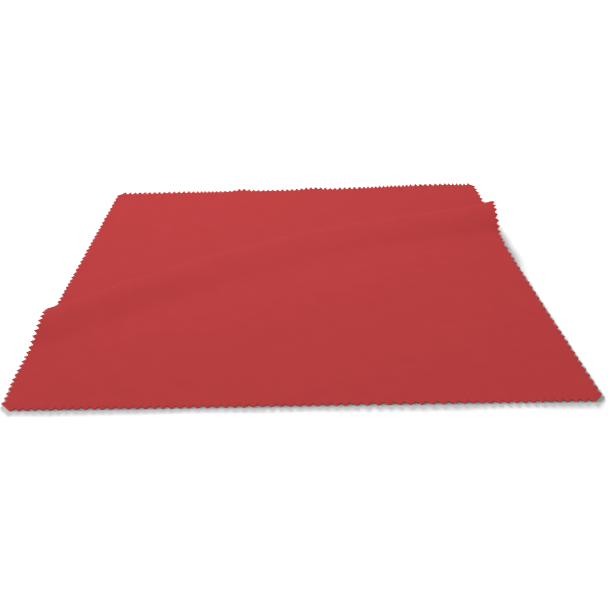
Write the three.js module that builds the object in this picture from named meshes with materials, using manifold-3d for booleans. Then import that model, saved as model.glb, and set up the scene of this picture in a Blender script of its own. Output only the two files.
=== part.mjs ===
// A square wiping cloth of thin suede-like fabric, cut all round with a zigzag (pinked) edge.
// It lies on a table, flat but for one low wave that runs from the front left to the back right.
//
// Units are millimetres, +X is right, +Y is to the back and +Z is up.
// The origin is the middle of the cloth's bounding box, at the height of the table.

import * as THREE from 'three';
import { mergeVertices } from 'three/addons/utils/BufferGeometryUtils.js';
import Module from 'manifold-3d';

// ---- driving dimensions -------------------------------------------------------------------

const CLOTH_SIDE = 180;      // tip to tip, measured on the flat cloth
const THICKNESS = 0.5;       // one ply of fabric

// Each corner is snipped off, this far along both of its sides, counter-clockwise from the front left.
const CORNER_CUTS = [3.8, 4, 3.4, 4];

// Each side is cut in a few strokes. A stroke is a stretch of the side with one tooth pitch.
// The sides run counter-clockwise from the front.
const SIDES = [
  { depth: 1.4, strokes: [[55, 2.55], [48, 2.7], [37, 3.35], [40, 2.6]] },
  { depth: 1.3, strokes: [[40, 3.1], [60, 4.2], [12, 4.7], [28, 2.8], [10, 4.4], [30, 4.2]] },
  { depth: 2.1, strokes: [[12, 1.9], [18, 2.5], [24, 1.95], [76, 2.45], [14, 1.9], [36, 2.5]] },
  { depth: 1.4, strokes: [[40, 4.1], [50, 3.6], [30, 2.8], [60, 2.5]] },
];

// The ridge of the wave, as its distance from the cloth's middle line at three places across it.
const RIDGE = { left: -39.5, middle: 23.5, right: 45.5, sway: -1 };
const WAVE_HEIGHT = { left: 4.3, middle: 2.8, right: 3.4 };
const RIGHT_CURL = 5;        // the wave stands this much higher still at the right cut edge
const CURL_POWER = 6;        // how closely that rise keeps to the edge
const REAR_WIDTH = { left: 9, middle: 12, right: 14 };    // ridge to foot, on the steep side
const FACE_WIDTH = { left: 17, middle: 21, right: 20 };   // the main slope in front of the ridge
const APRON_REACH = 1.5;     // the gentle foot of that slope ends this many face widths from the ridge
const APRON_SHARE = 0.15;    // how much of the height the apron carries
const FOOT_ROUND = 0.3;      // the share of a slope that is rounded at its foot
const FACE_ROUND = 0.4;      // and at its top, on the front side
const CREST_ROUND = 0.2;    // and at its top, on the steep side

// The wave takes up cloth, so the cut edges don't lie quite square.
const TAKE_UP = 0.6;         // share of the wave's extra length that draws the rear part forward
const BACK_SKEW = 2.4;       // the back edge runs this much to the rear at its right end
const BACK_TAPER = 0.7;      // each side stands this much further out in front than behind
const RIGHT_SIDE_BOW = 0.5;  // the middle of the right side is drawn in
const CORNER_LIFT = 2;       // the back right corner doesn't quite reach the table
const CORNER_REACH = 1.9;    // and it stands out to the right
const FRONT_TUCK = 1.1;      // the front left corner is drawn in
const TUCK_LENGTH = 22;      // the part of the cloth that is drawn in with it

const FABRIC_RED = '#bb3f40';
const FABRIC_ROUGHNESS = 0.95;

// ---- the wave -----------------------------------------------------------------------------

const HALF = CLOTH_SIDE / 2;
const SLOPE_STEP = 0.5;      // the step over which slopes of the ridge and of the cloth are taken

// A value given at the left, the middle and the right, at a place from -1 to 1 between them.
function across({ left, middle, right }, place) {
  return middle + ((right - left) / 2) * place + ((left + right) / 2 - middle) * place ** 2;
}

// Rises smoothly from 0 to 1 as the share goes from 0 to 1.
function smoothRise(share) {
  return 0.5 * (1 - Math.cos(Math.PI * THREE.MathUtils.clamp(share, 0, 1)));
}

// Rises from 0 to 1 in a straight slope that is rounded at its foot and at its top.
function ramp(share, topRound) {
  const along = THREE.MathUtils.clamp(share, 0, 1);
  const slope = 1 / (1 - (FOOT_ROUND + topRound) / 2);
  if (along < FOOT_ROUND) {
    return (slope * along ** 2) / (2 * FOOT_ROUND);
  }
  if (along > 1 - topRound) {
    return 1 - (slope * (1 - along) ** 2) / (2 * topRound);
  }
  return slope * (along - FOOT_ROUND / 2);
}

function ridgeLine(u) {
  const place = u / HALF;
  return across(RIDGE, place) + RIDGE.sway * place * (place ** 2 - 1);
}

// The direction square to the ridge, towards the back, as the cosine and sine of its turn.
function ridgeTurn(u) {
  const turn = Math.atan((ridgeLine(u + SLOPE_STEP) - ridgeLine(u - SLOPE_STEP)) / (2 * SLOPE_STEP));
  return { cos: Math.cos(turn), sin: Math.sin(turn) };
}

// Extra length of cloth in a smooth rise of the given height over the given width.
function extraLength(height, width) {
  return (height ** 2 * Math.PI ** 2) / (16 * width);
}

// Where a point (u, v) of the flat cloth's underside comes to lie.
function lay(u, v) {
  const { cos, sin } = ridgeTurn(u);
  const behind = (v - ridgeLine(u)) * cos;
  const height = across(WAVE_HEIGHT, u / HALF) + RIGHT_CURL * Math.max(0, u / HALF) ** CURL_POWER;
  const rearWidth = across(REAR_WIDTH, u / HALF);
  const faceWidth = across(FACE_WIDTH, u / HALF);

  const faceShare = THREE.MathUtils.clamp(1 + behind / faceWidth, 0, 1);
  const rearShare = THREE.MathUtils.clamp(behind / rearWidth, 0, 1);
  const face = (1 - APRON_SHARE) * ramp(faceShare, FACE_ROUND);
  const apron = APRON_SHARE * smoothRise(1 + behind / (APRON_REACH * faceWidth));
  const wave = height * (behind < 0 ? face + apron : ramp(1 - rearShare, CREST_ROUND));
  const drawn = TAKE_UP * (extraLength(height * (1 - APRON_SHARE), faceWidth) * faceShare
    + extraLength(height, rearWidth) * rearShare);

  const depthShare = (v + HALF) / CLOTH_SIDE;
  const bow = RIGHT_SIDE_BOW * Math.max(0, u / HALF) * 4 * depthShare * (1 - depthShare);
  const taper = (BACK_TAPER * v * u) / HALF ** 2;
  const backCorner = smoothRise((u + v) / HALF - 1);
  const tuck = FRONT_TUCK * smoothRise(1 - Math.hypot(u + HALF, v + HALF) / TUCK_LENGTH);
  return new THREE.Vector3(
    u + drawn * sin - bow - taper + tuck + CORNER_REACH * backCorner,
    v - drawn * cos + (BACK_SKEW * depthShare * u) / HALF,
    wave + CORNER_LIFT * backCorner,
  );
}

// The same point on the upper side, one thickness away along the cloth's normal.
function layUpper(u, v) {
  const alongU = lay(u + SLOPE_STEP, v).sub(lay(u - SLOPE_STEP, v));
  const alongV = lay(u, v + SLOPE_STEP).sub(lay(u, v - SLOPE_STEP));
  return lay(u, v).addScaledVector(alongU.cross(alongV).normalize(), THICKNESS);
}

// ---- the blank: a thin plate whose rows follow the ridge --------------------------------------

const MARGIN = 3;            // the blank is this much larger than the cut cloth, all round
const COLUMNS = 34;
const FRONT_ROWS = 3;
const SLOPE_ROWS = 13;
const REAR_ROWS = 8;
const BACK_ROWS = 6;
const ROWS = FRONT_ROWS + SLOPE_ROWS + REAR_ROWS + BACK_ROWS;

// The place of a row of the blank at the column u: even steps between the feet of the wave.
function rowPlace(row, u) {
  const { cos } = ridgeTurn(u);
  const ridge = ridgeLine(u);
  const frontFoot = ridge - (APRON_REACH * across(FACE_WIDTH, u / HALF)) / cos;
  const rearFoot = ridge + across(REAR_WIDTH, u / HALF) / cos;
  const stretches = [
    { rows: FRONT_ROWS, from: -HALF - MARGIN, to: frontFoot },
    { rows: SLOPE_ROWS, from: frontFoot, to: ridge },
    { rows: REAR_ROWS, from: ridge, to: rearFoot },
    { rows: BACK_ROWS, from: rearFoot, to: HALF + MARGIN },
  ];
  let rowInStretch = row;
  let stretch = stretches.shift();
  while (rowInStretch > stretch.rows) {
    rowInStretch -= stretch.rows;
    stretch = stretches.shift();
  }
  return THREE.MathUtils.lerp(stretch.from, stretch.to, rowInStretch / stretch.rows);
}

function bentBlank() {
  const plate = new THREE.BoxGeometry(1, 1, 1, COLUMNS, ROWS, 1);
  const points = plate.getAttribute('position');
  for (let i = 0; i < points.count; i += 1) {
    const u = points.getX(i) * (CLOTH_SIDE + 2 * MARGIN);
    const v = rowPlace(Math.round((points.getY(i) + 0.5) * ROWS), u);
    const place = points.getZ(i) > 0 ? layUpper(u, v) : lay(u, v);
    points.setXYZ(i, place.x, place.y, place.z);
  }
  return plate;
}

// ---- the cutter: the pinked outline ----------------------------------------------------------

const CUTTER_REACH = 20;     // the cutter goes this far above and below the table

// Distances of the tooth tips along one side, stroke by stroke, between its two snipped corners.
function tipPlaces(strokes, firstCut, lastCut) {
  const run = CLOTH_SIDE - firstCut - lastCut;
  const total = strokes.reduce((sum, [length]) => sum + length, 0);
  const places = [firstCut];
  let start = firstCut;
  for (const [length, pitch] of strokes) {
    const strokeRun = (run * length) / total;
    const teeth = Math.round(strokeRun / pitch);
    for (let tooth = 1; tooth <= teeth; tooth += 1) {
      places.push(start + (strokeRun * tooth) / teeth);
    }
    start += strokeRun;
  }
  return places;
}

// One side of the outline, tips and notches in turn, drawn as if it were the front side.
function sidePoints({ depth, strokes }, firstCut, lastCut) {
  const tips = tipPlaces(strokes, firstCut, lastCut);
  const points = [];
  tips.forEach((tip, i) => {
    points.push(new THREE.Vector2(tip - HALF, -HALF));
    if (i + 1 < tips.length) {
      points.push(new THREE.Vector2((tip + tips[i + 1]) / 2 - HALF, -HALF + depth));
    }
  });
  return points;
}

// The whole outline, laid down with the cloth, as a tall prism.
function pinkedCutter() {
  const outline = [];
  const middle = new THREE.Vector2(0, 0);
  SIDES.forEach((side, quarter) => {
    const nextCut = CORNER_CUTS[(quarter + 1) % CORNER_CUTS.length];
    for (const point of sidePoints(side, CORNER_CUTS[quarter], nextCut)) {
      point.rotateAround(middle, (quarter * Math.PI) / 2);
      const laid = lay(point.x, point.y);
      outline.push(new THREE.Vector2(laid.x, laid.y));
    }
  });
  const prism = new THREE.ExtrudeGeometry(new THREE.Shape(outline), {
    depth: 2 * CUTTER_REACH, bevelEnabled: false,
  });
  return prism.translate(0, 0, -CUTTER_REACH);
}

// ---- cutting the cloth out of the blank ------------------------------------------------------

const MERGE_DISTANCE = 1e-4; // points closer than this are one point

const wasm = await Module();
wasm.setup();

function toSolid(geometry) {
  const bare = geometry.clone();
  bare.deleteAttribute('normal');
  bare.deleteAttribute('uv');
  const merged = mergeVertices(bare, MERGE_DISTANCE);
  return new wasm.Manifold(new wasm.Mesh({
    numProp: 3,
    vertProperties: new Float32Array(merged.getAttribute('position').array),
    triVerts: new Uint32Array(merged.getIndex().array),
  }));
}

function fromSolid(solid) {
  const { vertProperties, triVerts } = solid.getMesh();
  const geometry = new THREE.BufferGeometry();
  geometry.setAttribute('position', new THREE.BufferAttribute(new Float32Array(vertProperties), 3));
  geometry.setIndex(new THREE.BufferAttribute(new Uint32Array(triVerts), 1));
  geometry.computeVertexNormals();
  return geometry;
}

function pinkedCloth() {
  const cloth = fromSolid(toSolid(bentBlank()).intersect(toSolid(pinkedCutter())));
  cloth.computeBoundingBox();
  const middle = cloth.boundingBox.getCenter(new THREE.Vector3());
  return cloth.translate(-middle.x, -middle.y, -cloth.boundingBox.min.z);
}

const fabric = new THREE.MeshStandardMaterial({
  color: FABRIC_RED, roughness: FABRIC_ROUGHNESS, metalness: 0,
});
const clothSheet = new THREE.Mesh(pinkedCloth(), fabric);
clothSheet.name = 'cloth_sheet';

const wipingCloth = new THREE.Group();
wipingCloth.add(clothSheet);

export default wipingCloth;
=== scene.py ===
# %% [markdown]
# # A pinked wiping cloth
#
# The object is one square of thin, suede-like microfibre. It was cut out with pinking shears, so a
# zigzag runs all round it, and it lies on a table with one low wave that crosses it from the front
# left to the back right. There is no hem, no stitching and no second layer: the cut sheet is the
# whole object. The steps below are those of the maker. The cloth is cut flat, then it is laid down,
# then it gets its thickness and its nap.
#
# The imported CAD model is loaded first. It is the fixed frame: it says how large the cloth is and
# where it lies, and the finished cloth has to lie in the same place.

# %% Load the frame
import math

import bmesh
import bpy
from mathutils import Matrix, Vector, noise


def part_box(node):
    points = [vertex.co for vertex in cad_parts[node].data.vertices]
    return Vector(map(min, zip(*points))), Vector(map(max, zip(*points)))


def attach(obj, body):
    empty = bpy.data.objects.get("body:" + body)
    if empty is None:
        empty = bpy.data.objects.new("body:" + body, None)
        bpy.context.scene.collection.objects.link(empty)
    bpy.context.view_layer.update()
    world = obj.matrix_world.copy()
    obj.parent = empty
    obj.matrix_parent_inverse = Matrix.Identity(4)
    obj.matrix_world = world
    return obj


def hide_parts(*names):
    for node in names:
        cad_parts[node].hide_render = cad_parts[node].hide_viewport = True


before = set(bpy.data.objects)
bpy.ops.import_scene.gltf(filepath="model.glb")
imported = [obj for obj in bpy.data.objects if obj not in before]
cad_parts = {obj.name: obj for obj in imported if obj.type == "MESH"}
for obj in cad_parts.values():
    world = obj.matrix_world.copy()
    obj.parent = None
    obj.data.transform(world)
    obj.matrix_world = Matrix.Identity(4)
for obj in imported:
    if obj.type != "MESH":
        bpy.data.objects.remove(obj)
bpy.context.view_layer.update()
sheet_low, sheet_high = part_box("cloth_sheet")
MM = 0.001

# %% [markdown]
# ## The camera
#
# A small flat thing on a table is seen from above its front edge. The lens is a short portrait lens,
# a little longer than normal, and it is close: the front edge looks much wider than the back edge.
# The camera's place is counted from the middle of the cloth.

# %% Camera
CAMERA_BACK = 264.6 * MM
CAMERA_LEFT = 4.4 * MM
CAMERA_UP = 133.4 * MM
CAMERA_TILT = 29.56
CAMERA_TURN = 1.50
CAMERA_LENS = 43.44
SENSOR_WIDTH = 36
NEAREST_SEEN = 10 * MM
FARTHEST_SEEN = 10.0

camera_data = bpy.data.cameras.new("camera")
camera_data.lens = CAMERA_LENS
camera_data.sensor_width = SENSOR_WIDTH
camera_data.clip_start = NEAREST_SEEN
camera_data.clip_end = FARTHEST_SEEN
camera = bpy.data.objects.new("camera", camera_data)
camera.location = (-CAMERA_LEFT, -CAMERA_BACK, CAMERA_UP)
camera.rotation_euler = (math.radians(90 - CAMERA_TILT), 0, math.radians(-CAMERA_TURN))
bpy.context.scene.collection.objects.link(camera)
bpy.context.scene.camera = camera
print("camera looks down by", CAMERA_TILT, "degrees")

# %% [markdown]
# ## The table
#
# The table is a plain sheet that reaches far past what the camera sees. Its paint is a grey, because
# its own lamps, which come later, are so strong that they make it pure white wherever no shadow
# falls. A white paint under weaker lamps would do too, but it would throw more light back under the
# cloth. The table lies a hair below the cloth, because two faces at one height would flicker.

# %% Table
TABLE_REACH = 6.0
TABLE_GREY = (0.25, 0.25, 0.25, 1)
TABLE_ROUGHNESS = 0.9
TABLE_GAP = 0.05 * MM


def plain_material(name, colour, roughness):
    """A paint of one colour."""
    material = bpy.data.materials.new(name)
    material.use_nodes = True
    shader = material.node_tree.nodes["Principled BSDF"]
    shader.inputs["Base Color"].default_value = colour
    shader.inputs["Roughness"].default_value = roughness
    return material


def new_object(name, mesh, material):
    """An object in the scene, made of a mesh and its material."""
    made = bpy.data.objects.new(name, mesh)
    made.data.materials.append(material)
    bpy.context.scene.collection.objects.link(made)
    return made


table_bmesh = bmesh.new()
bmesh.ops.create_grid(table_bmesh, x_segments=1, y_segments=1, size=TABLE_REACH)
bmesh.ops.translate(table_bmesh, verts=table_bmesh.verts, vec=(0, 0, -TABLE_GAP))
table_mesh = bpy.data.meshes.new("table")
table_bmesh.to_mesh(table_mesh)
table_bmesh.free()
table = new_object("table", table_mesh, plain_material("white_table", TABLE_GREY, TABLE_ROUGHNESS))
print("table reaches", TABLE_REACH, "m to each side")

# %% [markdown]
# ## The light
#
# A bright even sky lights everything. One round soft box hangs above the cloth, a little behind it
# and to its left. It makes the back left part the brightest, and the wave's slope that faces the
# front stays a little darker. A single lamp without the sky would be simpler, but its shading would
# be far too hard for such a low wave.

# %% Sky and soft box
SKY_STRENGTH = 0.75
SOFT_BOX_POWER = 0.68
SOFT_BOX_SIZE = 0.26
SOFT_BOX_PLACE = Vector((-0.065, 0.11, 0.33))

world = bpy.data.worlds.new("sky")
world.use_nodes = True
sky = world.node_tree.nodes["Background"]
sky.inputs["Color"].default_value = (1, 1, 1, 1)
sky.inputs["Strength"].default_value = SKY_STRENGTH
bpy.context.scene.world = world


def new_lamp(name, kind, strength, place):
    """A lamp that stands at place and looks at the middle of the cloth."""
    data = bpy.data.lights.new(name, kind)
    data.energy = strength
    lamp = bpy.data.objects.new(name, data)
    lamp.location = place
    lamp.rotation_euler = (-place).to_track_quat("-Z", "Y").to_euler()
    bpy.context.scene.collection.objects.link(lamp)
    return lamp


soft_box = new_lamp("soft_box", "AREA", SOFT_BOX_POWER, SOFT_BOX_PLACE)
soft_box.data.shape = "DISK"
soft_box.data.size = SOFT_BOX_SIZE
print("sky", SKY_STRENGTH, "and soft box", SOFT_BOX_POWER, "W")

# %% [markdown]
# ## Lamps for the table only
#
# A cloth this thin throws a shadow that can be seen only when light comes in very low, and low light
# would rake over the fabric and show every bump. Light linking keeps the two apart: two low suns,
# one behind and one at the left, light only the table, and the cloth still stands in their way. A
# sun's width is given in degrees, and a wide sun makes a soft shadow.

# %% Two suns for the table
# Each lamp as (name, strength, width in degrees, direction it comes from).
TABLE_LAMPS = (
    ("table_lamp_behind", 80.0, 20, Vector((-0.10, 0.98, 0.072))),
    ("table_lamp_left", 24.0, 26, Vector((-0.98, 0.03, 0.12))),
)

table_only = bpy.data.collections.new("table_only")
table_only.objects.link(table)
for name, strength, width, place in TABLE_LAMPS:
    table_lamp = new_lamp(name, "SUN", strength, place)
    table_lamp.data.angle = math.radians(width)
    table_lamp.light_linking.receiver_collection = table_only

bpy.context.scene.view_settings.view_transform = "Standard"
print("table lamps:", len(TABLE_LAMPS))

# %% [markdown]
# ## Cutting the cloth
#
# The cloth is cut flat. Pinking shears cut a few centimetres at a time, so each side is made of a few
# strokes, and the teeth of each stroke have their own pitch. The corners are snipped off. The outline
# is a few hundred points, tips and notches in turn, and it is filled as one face. The teeth could
# also be cut off a square with a zigzag cutter, but drawing them at once needs no cutting.

# %% The pinked outline
CLOTH_SIDE = 180 * MM
HALF = CLOTH_SIDE / 2
CORNER_CUTS = (3.8 * MM, 4.0 * MM, 3.4 * MM, 4.0 * MM)

# The depth of the teeth, then the strokes as (length, pitch) in mm, counter-clockwise from the front.
SIDES = (
    (1.4 * MM, ((55, 2.55), (48, 2.7), (37, 3.35), (40, 2.6))),
    (1.3 * MM, ((40, 3.1), (60, 4.2), (12, 4.7), (28, 2.8), (10, 4.4), (30, 4.2))),
    (2.1 * MM, ((12, 1.9), (18, 2.5), (24, 1.95), (76, 2.45), (14, 1.9), (36, 2.5))),
    (1.4 * MM, ((40, 4.1), (50, 3.6), (30, 2.8), (60, 2.5))),
)


def tip_places(strokes, first, last):
    """Distances of the tooth tips along one side, stroke by stroke, between its two snipped corners."""
    run = CLOTH_SIDE - first - last
    total = sum(length for length, pitch in strokes)
    places = [first]
    start = first
    for length, pitch in strokes:
        stroke_run = run * length / total
        teeth = round(stroke_run / (pitch * MM))
        places += [start + stroke_run * tooth / teeth for tooth in range(1, teeth + 1)]
        start += stroke_run
    return places


def side_points(depth, strokes, first, last):
    """Tips and notches of one side in turn, drawn as if it were the front side."""
    tips = tip_places(strokes, first, last)
    points = []
    for tip, next_tip in zip(tips, tips[1:]):
        points.append(Vector((tip - HALF, -HALF)))
        points.append(Vector(((tip + next_tip) / 2 - HALF, -HALF + depth)))
    points.append(Vector((tips[-1] - HALF, -HALF)))
    return points


def quarter_turned(point, quarters):
    """The point after that many quarter turns, counter-clockwise."""
    for _ in range(quarters):
        point = Vector((-point.y, point.x))
    return point


outline = [
    quarter_turned(point, quarters)
    for quarters, (depth, strokes) in enumerate(SIDES)
    for point in side_points(depth, strokes, CORNER_CUTS[quarters], CORNER_CUTS[(quarters + 1) % 4])
]
cloth = bmesh.new()
cut_edge = cloth.verts.layers.float.new("cut_edge")
outline_verts = [cloth.verts.new((point.x, point.y, 0)) for point in outline]
cloth.faces.new(outline_verts)
print("outline of", len(outline), "points")

# %% [markdown]
# ## A border along the cut
#
# The shears press the fabric thin where they cut it. Along the cut a lighter red is painted as well,
# as painted light that lifts the shade falling on the thin wall.
# Both follow the outline. So a narrow ring of faces is inset all round, and the outline's points are
# marked in an attribute, which the thickness and the fabric's colour read later. An inset has to know
# which way its face looks, so the normal is worked out first. A bevel could thin the edge as well,
# but it would be cut from the finished thickness, where hundreds of small teeth leave it little room.

# %% Inset the border
BORDER = 0.5 * MM

cloth.normal_update()
bmesh.ops.inset_region(
    cloth, faces=cloth.faces[:], thickness=BORDER, use_boundary=True, use_even_offset=True
)
for vert in outline_verts:
    vert[cut_edge] = 1
print("border of", len(cloth.faces) - 1, "faces")

# %% [markdown]
# ## Rows and columns
#
# One large face can't bend, so the flat cloth is sliced into rows and columns. A plain grid would be
# quicker to make, but the teeth would have to follow its squares. Slicing a finished outline keeps
# every tip where the shears put it. The outermost slices lie just inside the teeth.

# %% Slice it both ways
SLICE = 1.2 * MM
RIM = 2.4 * MM
ON_THE_CUT = 1e-6


def slice_across(cut, direction):
    """Cuts the flat cloth along evenly spaced lines that are square to direction."""
    reach = HALF - RIM
    count = round(2 * reach / SLICE)
    for index in range(count + 1):
        place = Vector(direction) * (-reach + 2 * reach * index / count)
        everything = cut.verts[:] + cut.edges[:] + cut.faces[:]
        bmesh.ops.bisect_plane(cut, geom=everything, dist=ON_THE_CUT, plane_co=place, plane_no=direction)


slice_across(cloth, (1, 0, 0))
slice_across(cloth, (0, 1, 0))
flat_area = sum(face.calc_area() for face in cloth.faces)
print("cut into", len(cloth.faces), "faces, flat area", round(flat_area, 6), "square metres")

# %% [markdown]
# ## The fabric's own map
#
# While the cloth is still flat, each corner of each face notes its place in a UV map. A print or a
# weave on such a map would bend with the fabric. Unwrapping the laid cloth would give nearly the same
# map, with small errors on the wave.

# %% Note the flat places
flat_map = cloth.loops.layers.uv.new("flat_cloth")
for face in cloth.faces:
    for loop in face.loops:
        loop[flat_map].uv = (loop.vert.co.x / CLOTH_SIDE + 0.5, loop.vert.co.y / CLOTH_SIDE + 0.5)
print("map", flat_map.name, "noted")

# %% [markdown]
# ## Laying it down
#
# The cloth lies flat but for one wave. In front of the ridge it comes up in a main slope with a gentle
# apron at its foot, and behind the ridge it falls away more steeply. A cloth simulation could make
# such a wave, but not this one wave in this one place, so its shape is a formula of smooth rises. In
# all that follows, u is a flat point's distance to the right of the middle and v its distance behind
# the middle.

# %% Smooth rises
FOOT_ROUND = 0.3
FACE_ROUND = 0.4
CREST_ROUND = 0.32


def across(values, place):
    """A value given at the left, the middle and the right, at a place from -1 to 1."""
    left, middle, right = values
    return middle + (right - left) / 2 * place + ((left + right) / 2 - middle) * place**2


def clamp(share):
    return max(0.0, min(1.0, share))


def smooth_rise(share):
    """Rises from 0 to 1 in half a cosine."""
    return 0.5 * (1 - math.cos(math.pi * clamp(share)))


def ramp(share, top_round):
    """Rises from 0 to 1 in a straight slope that is rounded at its foot and at its top."""
    share = clamp(share)
    slope = 1 / (1 - (FOOT_ROUND + top_round) / 2)
    if share < FOOT_ROUND:
        return slope * share**2 / (2 * FOOT_ROUND)
    if share > 1 - top_round:
        return 1 - slope * (1 - share) ** 2 / (2 * top_round)
    return slope * (share - FOOT_ROUND / 2)


print("a ramp is", round(ramp(0.5, CREST_ROUND), 3), "up when it is half way along")

# %% The ridge, from the front left to the back right
RIDGE = (-39.5 * MM, 23.5 * MM, 45.5 * MM)
RIDGE_SWAY = -1 * MM
RIDGE_STEP = 0.5 * MM


def ridge_line(u):
    """How far behind the middle the ridge runs at u."""
    place = u / HALF
    return across(RIDGE, place) + RIDGE_SWAY * place * (place**2 - 1)


def ridge_turn(u):
    """The angle between the ridge and the front edge at u."""
    return math.atan((ridge_line(u + RIDGE_STEP) - ridge_line(u - RIDGE_STEP)) / (2 * RIDGE_STEP))


print("ridge turned by", round(math.degrees(ridge_turn(0)), 1), "degrees in the middle")

# %% The wave, with the curl of its right end
WAVE_HEIGHT = (4.3 * MM, 2.8 * MM, 3.4 * MM)
RIGHT_CURL = 5 * MM
CURL_POWER = 4.5
REAR_WIDTH = (9 * MM, 12 * MM, 14 * MM)
FACE_WIDTH = (17 * MM, 21 * MM, 20 * MM)
APRON_REACH = 1.5
APRON_SHARE = 0.15


def wave_height(u):
    return across(WAVE_HEIGHT, u / HALF) + RIGHT_CURL * max(0, u / HALF) ** CURL_POWER


def wave(u, behind):
    """Height of the wave at a distance behind the ridge, or before it where that is negative."""
    if behind >= 0:
        return wave_height(u) * ramp(1 - behind / across(REAR_WIDTH, u / HALF), CREST_ROUND)
    face_width = across(FACE_WIDTH, u / HALF)
    face = (1 - APRON_SHARE) * ramp(1 + behind / face_width, FACE_ROUND)
    apron = APRON_SHARE * smooth_rise(1 + behind / (APRON_REACH * face_width))
    return wave_height(u) * (face + apron)


print("wave height in mm:", [round(wave_height(u) / MM, 1) for u in (-HALF, 0, HALF)])

# %% [markdown]
# ## Cloth that the wave takes up
#
# A wave is longer than the table under it, so the cloth behind it is drawn towards the front. The
# extra length of a smooth rise has a simple formula. The fabric also stretches and eases a little,
# so only a share of that length is drawn.

# %% Drawn towards the front
TAKE_UP = 0.6


def extra_length(height, width):
    """Extra length of cloth in a smooth rise of that height over that width."""
    return height**2 * math.pi**2 / (16 * width)


def drawn_forward(u, behind):
    """How far the wave draws the cloth, at a distance behind the ridge."""
    face_width = across(FACE_WIDTH, u / HALF)
    rear_width = across(REAR_WIDTH, u / HALF)
    by_face = extra_length(wave_height(u) * (1 - APRON_SHARE), face_width)
    by_rear = extra_length(wave_height(u), rear_width)
    return TAKE_UP * (by_face * clamp(1 + behind / face_width) + by_rear * clamp(behind / rear_width))


print("drawn at the back right by", round(drawn_forward(HALF, HALF) / MM, 2), "mm")

# %% [markdown]
# ## Small lifts
#
# No real cloth lies dead flat. A low broad swell lies before the wave's foot, the cut edges stand off
# the table here and there, the back edge has two faint ripples and slightly raised teeth, and the
# back right corner is lifted. Each is less than a millimetre high, but for the corner with its two.
# The slack of the edges is noise, and the rest is given one by one.

# %% Swell, slack and ripples
SWELL_HEIGHT = 0.7 * MM
SWELL_RISE = 16 * MM
SWELL_FALL = 60 * MM
SWELL_MARGIN = 18 * MM
EDGE_LIFT = 0.25 * MM
EDGE_REACH = 9 * MM
SLACK_LENGTH = 16 * MM
BACK_TEETH_LIFT = 0.6 * MM
TEETH_REACH = 3 * MM
RIPPLE_DEPTH = 16 * MM

# Each ripple as (place along the back edge, half width, height).
BACK_RIPPLES = (
    (-27 * MM, 7 * MM, 0.7 * MM),
    (9 * MM, 11 * MM, 0.7 * MM),
)


def swell(ahead, to_edge):
    """The low swell at a distance ahead of the wave's foot, which dies out near the cut edges."""
    along = smooth_rise(ahead / SWELL_RISE) * smooth_rise(1 - (ahead - SWELL_RISE) / SWELL_FALL)
    return SWELL_HEIGHT * along * smooth_rise(to_edge / SWELL_MARGIN)


def edge_slack(u, v, to_edge):
    """How far the cut edge stands off the table."""
    slack = 0.5 + 0.5 * noise.noise(Vector((u, v, 0)) / SLACK_LENGTH)
    return EDGE_LIFT * slack * (1 - clamp(to_edge / EDGE_REACH)) ** 2


def back_edge_lift(u, v):
    """The raised teeth and the ripples of the back edge."""
    to_back = HALF - v
    lift = BACK_TEETH_LIFT * (1 - clamp(to_back / TEETH_REACH)) ** 2
    for place, half_width, height in BACK_RIPPLES:
        ripple = height * smooth_rise(1 - abs(u - place) / half_width)
        lift += ripple * smooth_rise(1 - to_back / RIPPLE_DEPTH)
    return lift


print("back edge lifted by up to", round(back_edge_lift(BACK_RIPPLES[0][0], HALF) / MM, 2), "mm")

# %% [markdown]
# ## A square that is a little out of true
#
# Hand-cut squares are never exact, and a thin cloth is easily pulled askew. The back is skewed, the
# sides come together a little, the right side is hollow, the front left corner is tucked in, and the
# lifted corner reaches out to the right. These are small moves in the plane of the table.

# %% Out of true
BACK_SKEW = 2.4 * MM
BACK_TAPER = 0.7 * MM
RIGHT_SIDE_BOW = 0.5 * MM
FRONT_TUCK = 1.1 * MM
TUCK_LENGTH = 22 * MM
CORNER_LIFT = 2 * MM
CORNER_REACH = 1.9 * MM


def back_right_corner(u, v):
    """1 at the back right corner, and 0 past the line half way to it."""
    return smooth_rise((u + v) / HALF - 1)


def moved_right(u, v):
    """How far a point lies to the right of its place in a true square."""
    depth_share = (v + HALF) / CLOTH_SIDE
    bow = RIGHT_SIDE_BOW * max(0, u / HALF) * 4 * depth_share * (1 - depth_share)
    tuck = FRONT_TUCK * smooth_rise(1 - math.hypot(u + HALF, v + HALF) / TUCK_LENGTH)
    return tuck - bow - BACK_TAPER * v * u / HALF**2 + CORNER_REACH * back_right_corner(u, v)


def moved_back(u, v):
    """How far a point lies behind its place in a true square."""
    return BACK_SKEW * (v + HALF) / CLOTH_SIDE * u / HALF


print("back right corner moved by", round(moved_right(HALF, HALF) / MM, 2), "mm to the right")

# %% Lay every point
def lay(u, v):
    """Where the point (u, v) of the flat cloth comes to lie."""
    turn = ridge_turn(u)
    behind = (v - ridge_line(u)) * math.cos(turn)
    drawn = drawn_forward(u, behind)
    to_edge = HALF - max(abs(u), abs(v))
    ahead_of_foot = -behind - across(FACE_WIDTH, u / HALF)
    small_lifts = swell(ahead_of_foot, to_edge) + edge_slack(u, v, to_edge) + back_edge_lift(u, v)
    return Vector((
        u + drawn * math.sin(turn) + moved_right(u, v),
        v - drawn * math.cos(turn) + moved_back(u, v),
        wave(u, behind) + CORNER_LIFT * back_right_corner(u, v) + small_lifts,
    ))


for vert in cloth.verts:
    vert.co = lay(vert.co.x, vert.co.y)
print("highest point", round(max(vert.co.z for vert in cloth.verts) / MM, 2), "mm")

# %% [markdown]
# ## Thickness
#
# Only now does the surface get its second face, straight above the first, and a wall all round. The
# marked points of the upper face are lowered, which leaves a thin wall and a rounded look, as of
# fabric that the shears have pressed. A Solidify modifier would do as well, but it would hide from
# this script which points are the upper ones.

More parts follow.
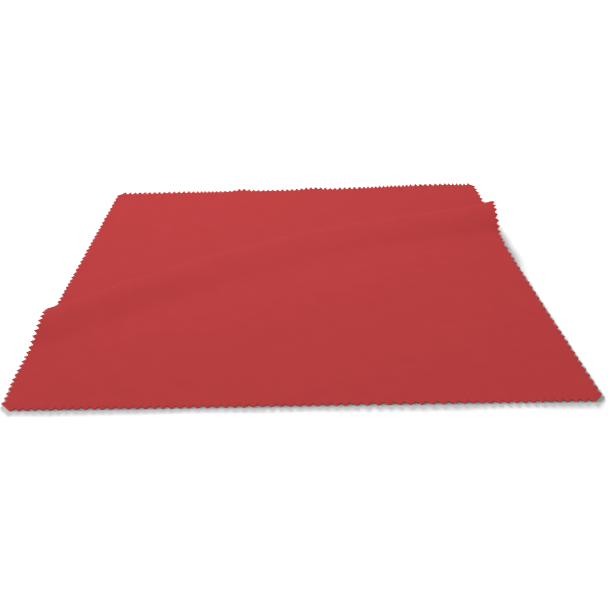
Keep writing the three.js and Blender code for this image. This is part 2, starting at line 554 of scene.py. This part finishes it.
# %% Give it its thickness
THICKNESS = 0.5 * MM
ROUNDING = 0.3 * MM

cloth.normal_update()
underside = set(cloth.verts)
bmesh.ops.solidify(cloth, geom=cloth.faces[:], thickness=-THICKNESS)
for vert in set(cloth.verts) - underside:
    vert.co.z -= ROUNDING * vert[cut_edge]
bmesh.ops.recalc_face_normals(cloth, faces=cloth.faces[:])
print("fabric volume", round(cloth.calc_volume(signed=True) / MM**3), "cubic mm")

# %% Set it where the frame has it
lows = Vector(min(vert.co[axis] for vert in cloth.verts) for axis in range(3))
highs = Vector(max(vert.co[axis] for vert in cloth.verts) for axis in range(3))
middle = (sheet_low + sheet_high) / 2 - (lows + highs) / 2
bmesh.ops.translate(cloth, verts=cloth.verts, vec=(middle.x, middle.y, sheet_low.z - lows.z))
print("laid box in mm:", [round(side / MM, 2) for side in highs - lows])

# %% [markdown]
# ## The fabric
#
# Suede-like microfibre is a fine knit whose surface was brushed up into a very short even nap. It has
# no shine. Seen flat it is a deep matt red, and at a low angle the nap catches light and looks paler,
# which is what the shader's sheen is for. Real hairs would show nothing at this size and cost much,
# so the nap is noise: a fine noise for the single tufts and a broad one for the places where the
# brush laid them one way or the other. Together they are the pile. It drives the colour and the
# roughness, and the fine noise alone drives a bump.

# %% The pile
BRUSHING_LENGTH = 7 * MM
BRUSHING_DETAIL = 3
BRUSHING_SHARE = 0.45
NAP_LENGTH = 0.5 * MM
NAP_DETAIL = 2
NAP_SHARE = 0.55


def surface_noise(tree, name, length, detail):
    """Noise on the Object coordinates, with features about one length across."""
    place = tree.nodes.new("ShaderNodeTexCoord")
    texture = tree.nodes.new("ShaderNodeTexNoise")
    texture.name = name
    texture.inputs["Scale"].default_value = 1 / length
    texture.inputs["Detail"].default_value = detail
    tree.links.new(place.outputs["Object"], texture.inputs["Vector"])
    return texture.outputs["Fac"]


def pile_height(tree, brushing, nap):
    """The two noises added up, each by its share."""
    nap_part = tree.nodes.new("ShaderNodeMath")
    nap_part.operation = "MULTIPLY"
    nap_part.inputs[1].default_value = NAP_SHARE
    tree.links.new(nap, nap_part.inputs[0])
    pile = tree.nodes.new("ShaderNodeMath")
    pile.operation = "MULTIPLY_ADD"
    pile.inputs[1].default_value = BRUSHING_SHARE
    tree.links.new(brushing, pile.inputs[0])
    tree.links.new(nap_part.outputs[0], pile.inputs[2])
    return pile.outputs[0]


print("nap of", NAP_LENGTH / MM, "mm in patches of", BRUSHING_LENGTH / MM, "mm")

# %% Its colour
FABRIC_RED = (0.385, 0.038, 0.0395, 1)
PALE_RED = (0.455, 0.0495, 0.051, 1)
# A lighter red painted along the cut: painted light that lifts the shade on the thin cut wall.
SHADE_LIFT_RED = (0.50, 0.050, 0.054, 1)
EDGE_FULL = 0.6


def spread(tree, value, full, low, high):
    """Maps a value between 0 and full to one between low and high."""
    node = tree.nodes.new("ShaderNodeMapRange")
    node.inputs["From Max"].default_value = full
    node.inputs["To Min"].default_value = low
    node.inputs["To Max"].default_value = high
    tree.links.new(value, node.inputs["Value"])
    return node.outputs["Result"]


def colour_mix(tree, factor):
    """A node that mixes its colours A and B by the factor."""
    node = tree.nodes.new("ShaderNodeMix")
    node.data_type = "RGBA"
    tree.links.new(factor, node.inputs["Factor"])
    return node


def fabric_colour(tree, pile):
    """Paler where the pile stands up, and painted a lighter red along the cut to lift the shade on its
    wall.
    """
    face_colour = colour_mix(tree, pile)
    face_colour.inputs["A"].default_value = FABRIC_RED
    face_colour.inputs["B"].default_value = PALE_RED
    edge = tree.nodes.new("ShaderNodeAttribute")
    edge.attribute_name = "cut_edge"
    whole_colour = colour_mix(tree, spread(tree, edge.outputs["Fac"], EDGE_FULL, 0, 1))
    whole_colour.inputs["B"].default_value = SHADE_LIFT_RED
    tree.links.new(face_colour.outputs["Result"], whole_colour.inputs["A"])
    return whole_colour.outputs["Result"]


print("reds for the low pile, the high pile and the cut:", FABRIC_RED[0], PALE_RED[0], SHADE_LIFT_RED[0])

# %% Microfibre
SMOOTHEST = 0.88
ROUGHEST = 1.0
NAP_DEPTH = 0.02 * MM
BUMP_STRENGTH = 1.0
SPECULAR = 0.0
SHEEN = 0.03
SHEEN_ROUGHNESS = 0.5
SHEEN_TINT = (0.95, 0.30, 0.28, 1)


def nap_bump(tree, nap):
    """Tilts the surface by the height of the nap."""
    bump = tree.nodes.new("ShaderNodeBump")
    bump.inputs["Distance"].default_value = NAP_DEPTH
    bump.inputs["Strength"].default_value = BUMP_STRENGTH
    tree.links.new(nap, bump.inputs["Height"])
    return bump.outputs["Normal"]


def microfibre():
    """The matt red fabric with its nap."""
    material = bpy.data.materials.new("red_microfibre")
    material.use_nodes = True
    tree = material.node_tree
    nap = surface_noise(tree, "nap", NAP_LENGTH, NAP_DETAIL)
    brushing = surface_noise(tree, "brushing", BRUSHING_LENGTH, BRUSHING_DETAIL)
    pile = pile_height(tree, brushing, nap)
    shader = tree.nodes["Principled BSDF"]
    tree.links.new(fabric_colour(tree, pile), shader.inputs["Base Color"])
    tree.links.new(spread(tree, pile, 1, SMOOTHEST, ROUGHEST), shader.inputs["Roughness"])
    tree.links.new(nap_bump(tree, nap), shader.inputs["Normal"])
    shader.inputs["Specular IOR Level"].default_value = SPECULAR
    shader.inputs["Sheen Weight"].default_value = SHEEN
    shader.inputs["Sheen Roughness"].default_value = SHEEN_ROUGHNESS
    shader.inputs["Sheen Tint"].default_value = SHEEN_TINT
    return material


red_microfibre = microfibre()
print("fabric of", len(red_microfibre.node_tree.nodes), "nodes")

# %% [markdown]
# ## The finished cloth
#
# The bmesh becomes a mesh, and the mesh an object at the origin. The slopes are shaded smooth. The
# wall and the face meet at a sharp angle, and edges that sharp keep their crease.

# %% Make the object
SHARP_ANGLE = 30

cloth_mesh = bpy.data.meshes.new("red_cloth")
cloth.to_mesh(cloth_mesh)
cloth.free()
red_cloth = new_object("red_cloth", cloth_mesh, red_microfibre)
cloth_mesh.shade_smooth()
cloth_mesh.set_sharp_from_angle(angle=math.radians(SHARP_ANGLE))
print("cloth of", len(cloth_mesh.polygons), "faces")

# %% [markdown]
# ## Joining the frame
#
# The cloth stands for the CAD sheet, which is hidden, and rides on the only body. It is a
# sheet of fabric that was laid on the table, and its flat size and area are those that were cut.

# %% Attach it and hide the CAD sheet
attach(red_cloth, "root")
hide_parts("cloth_sheet")
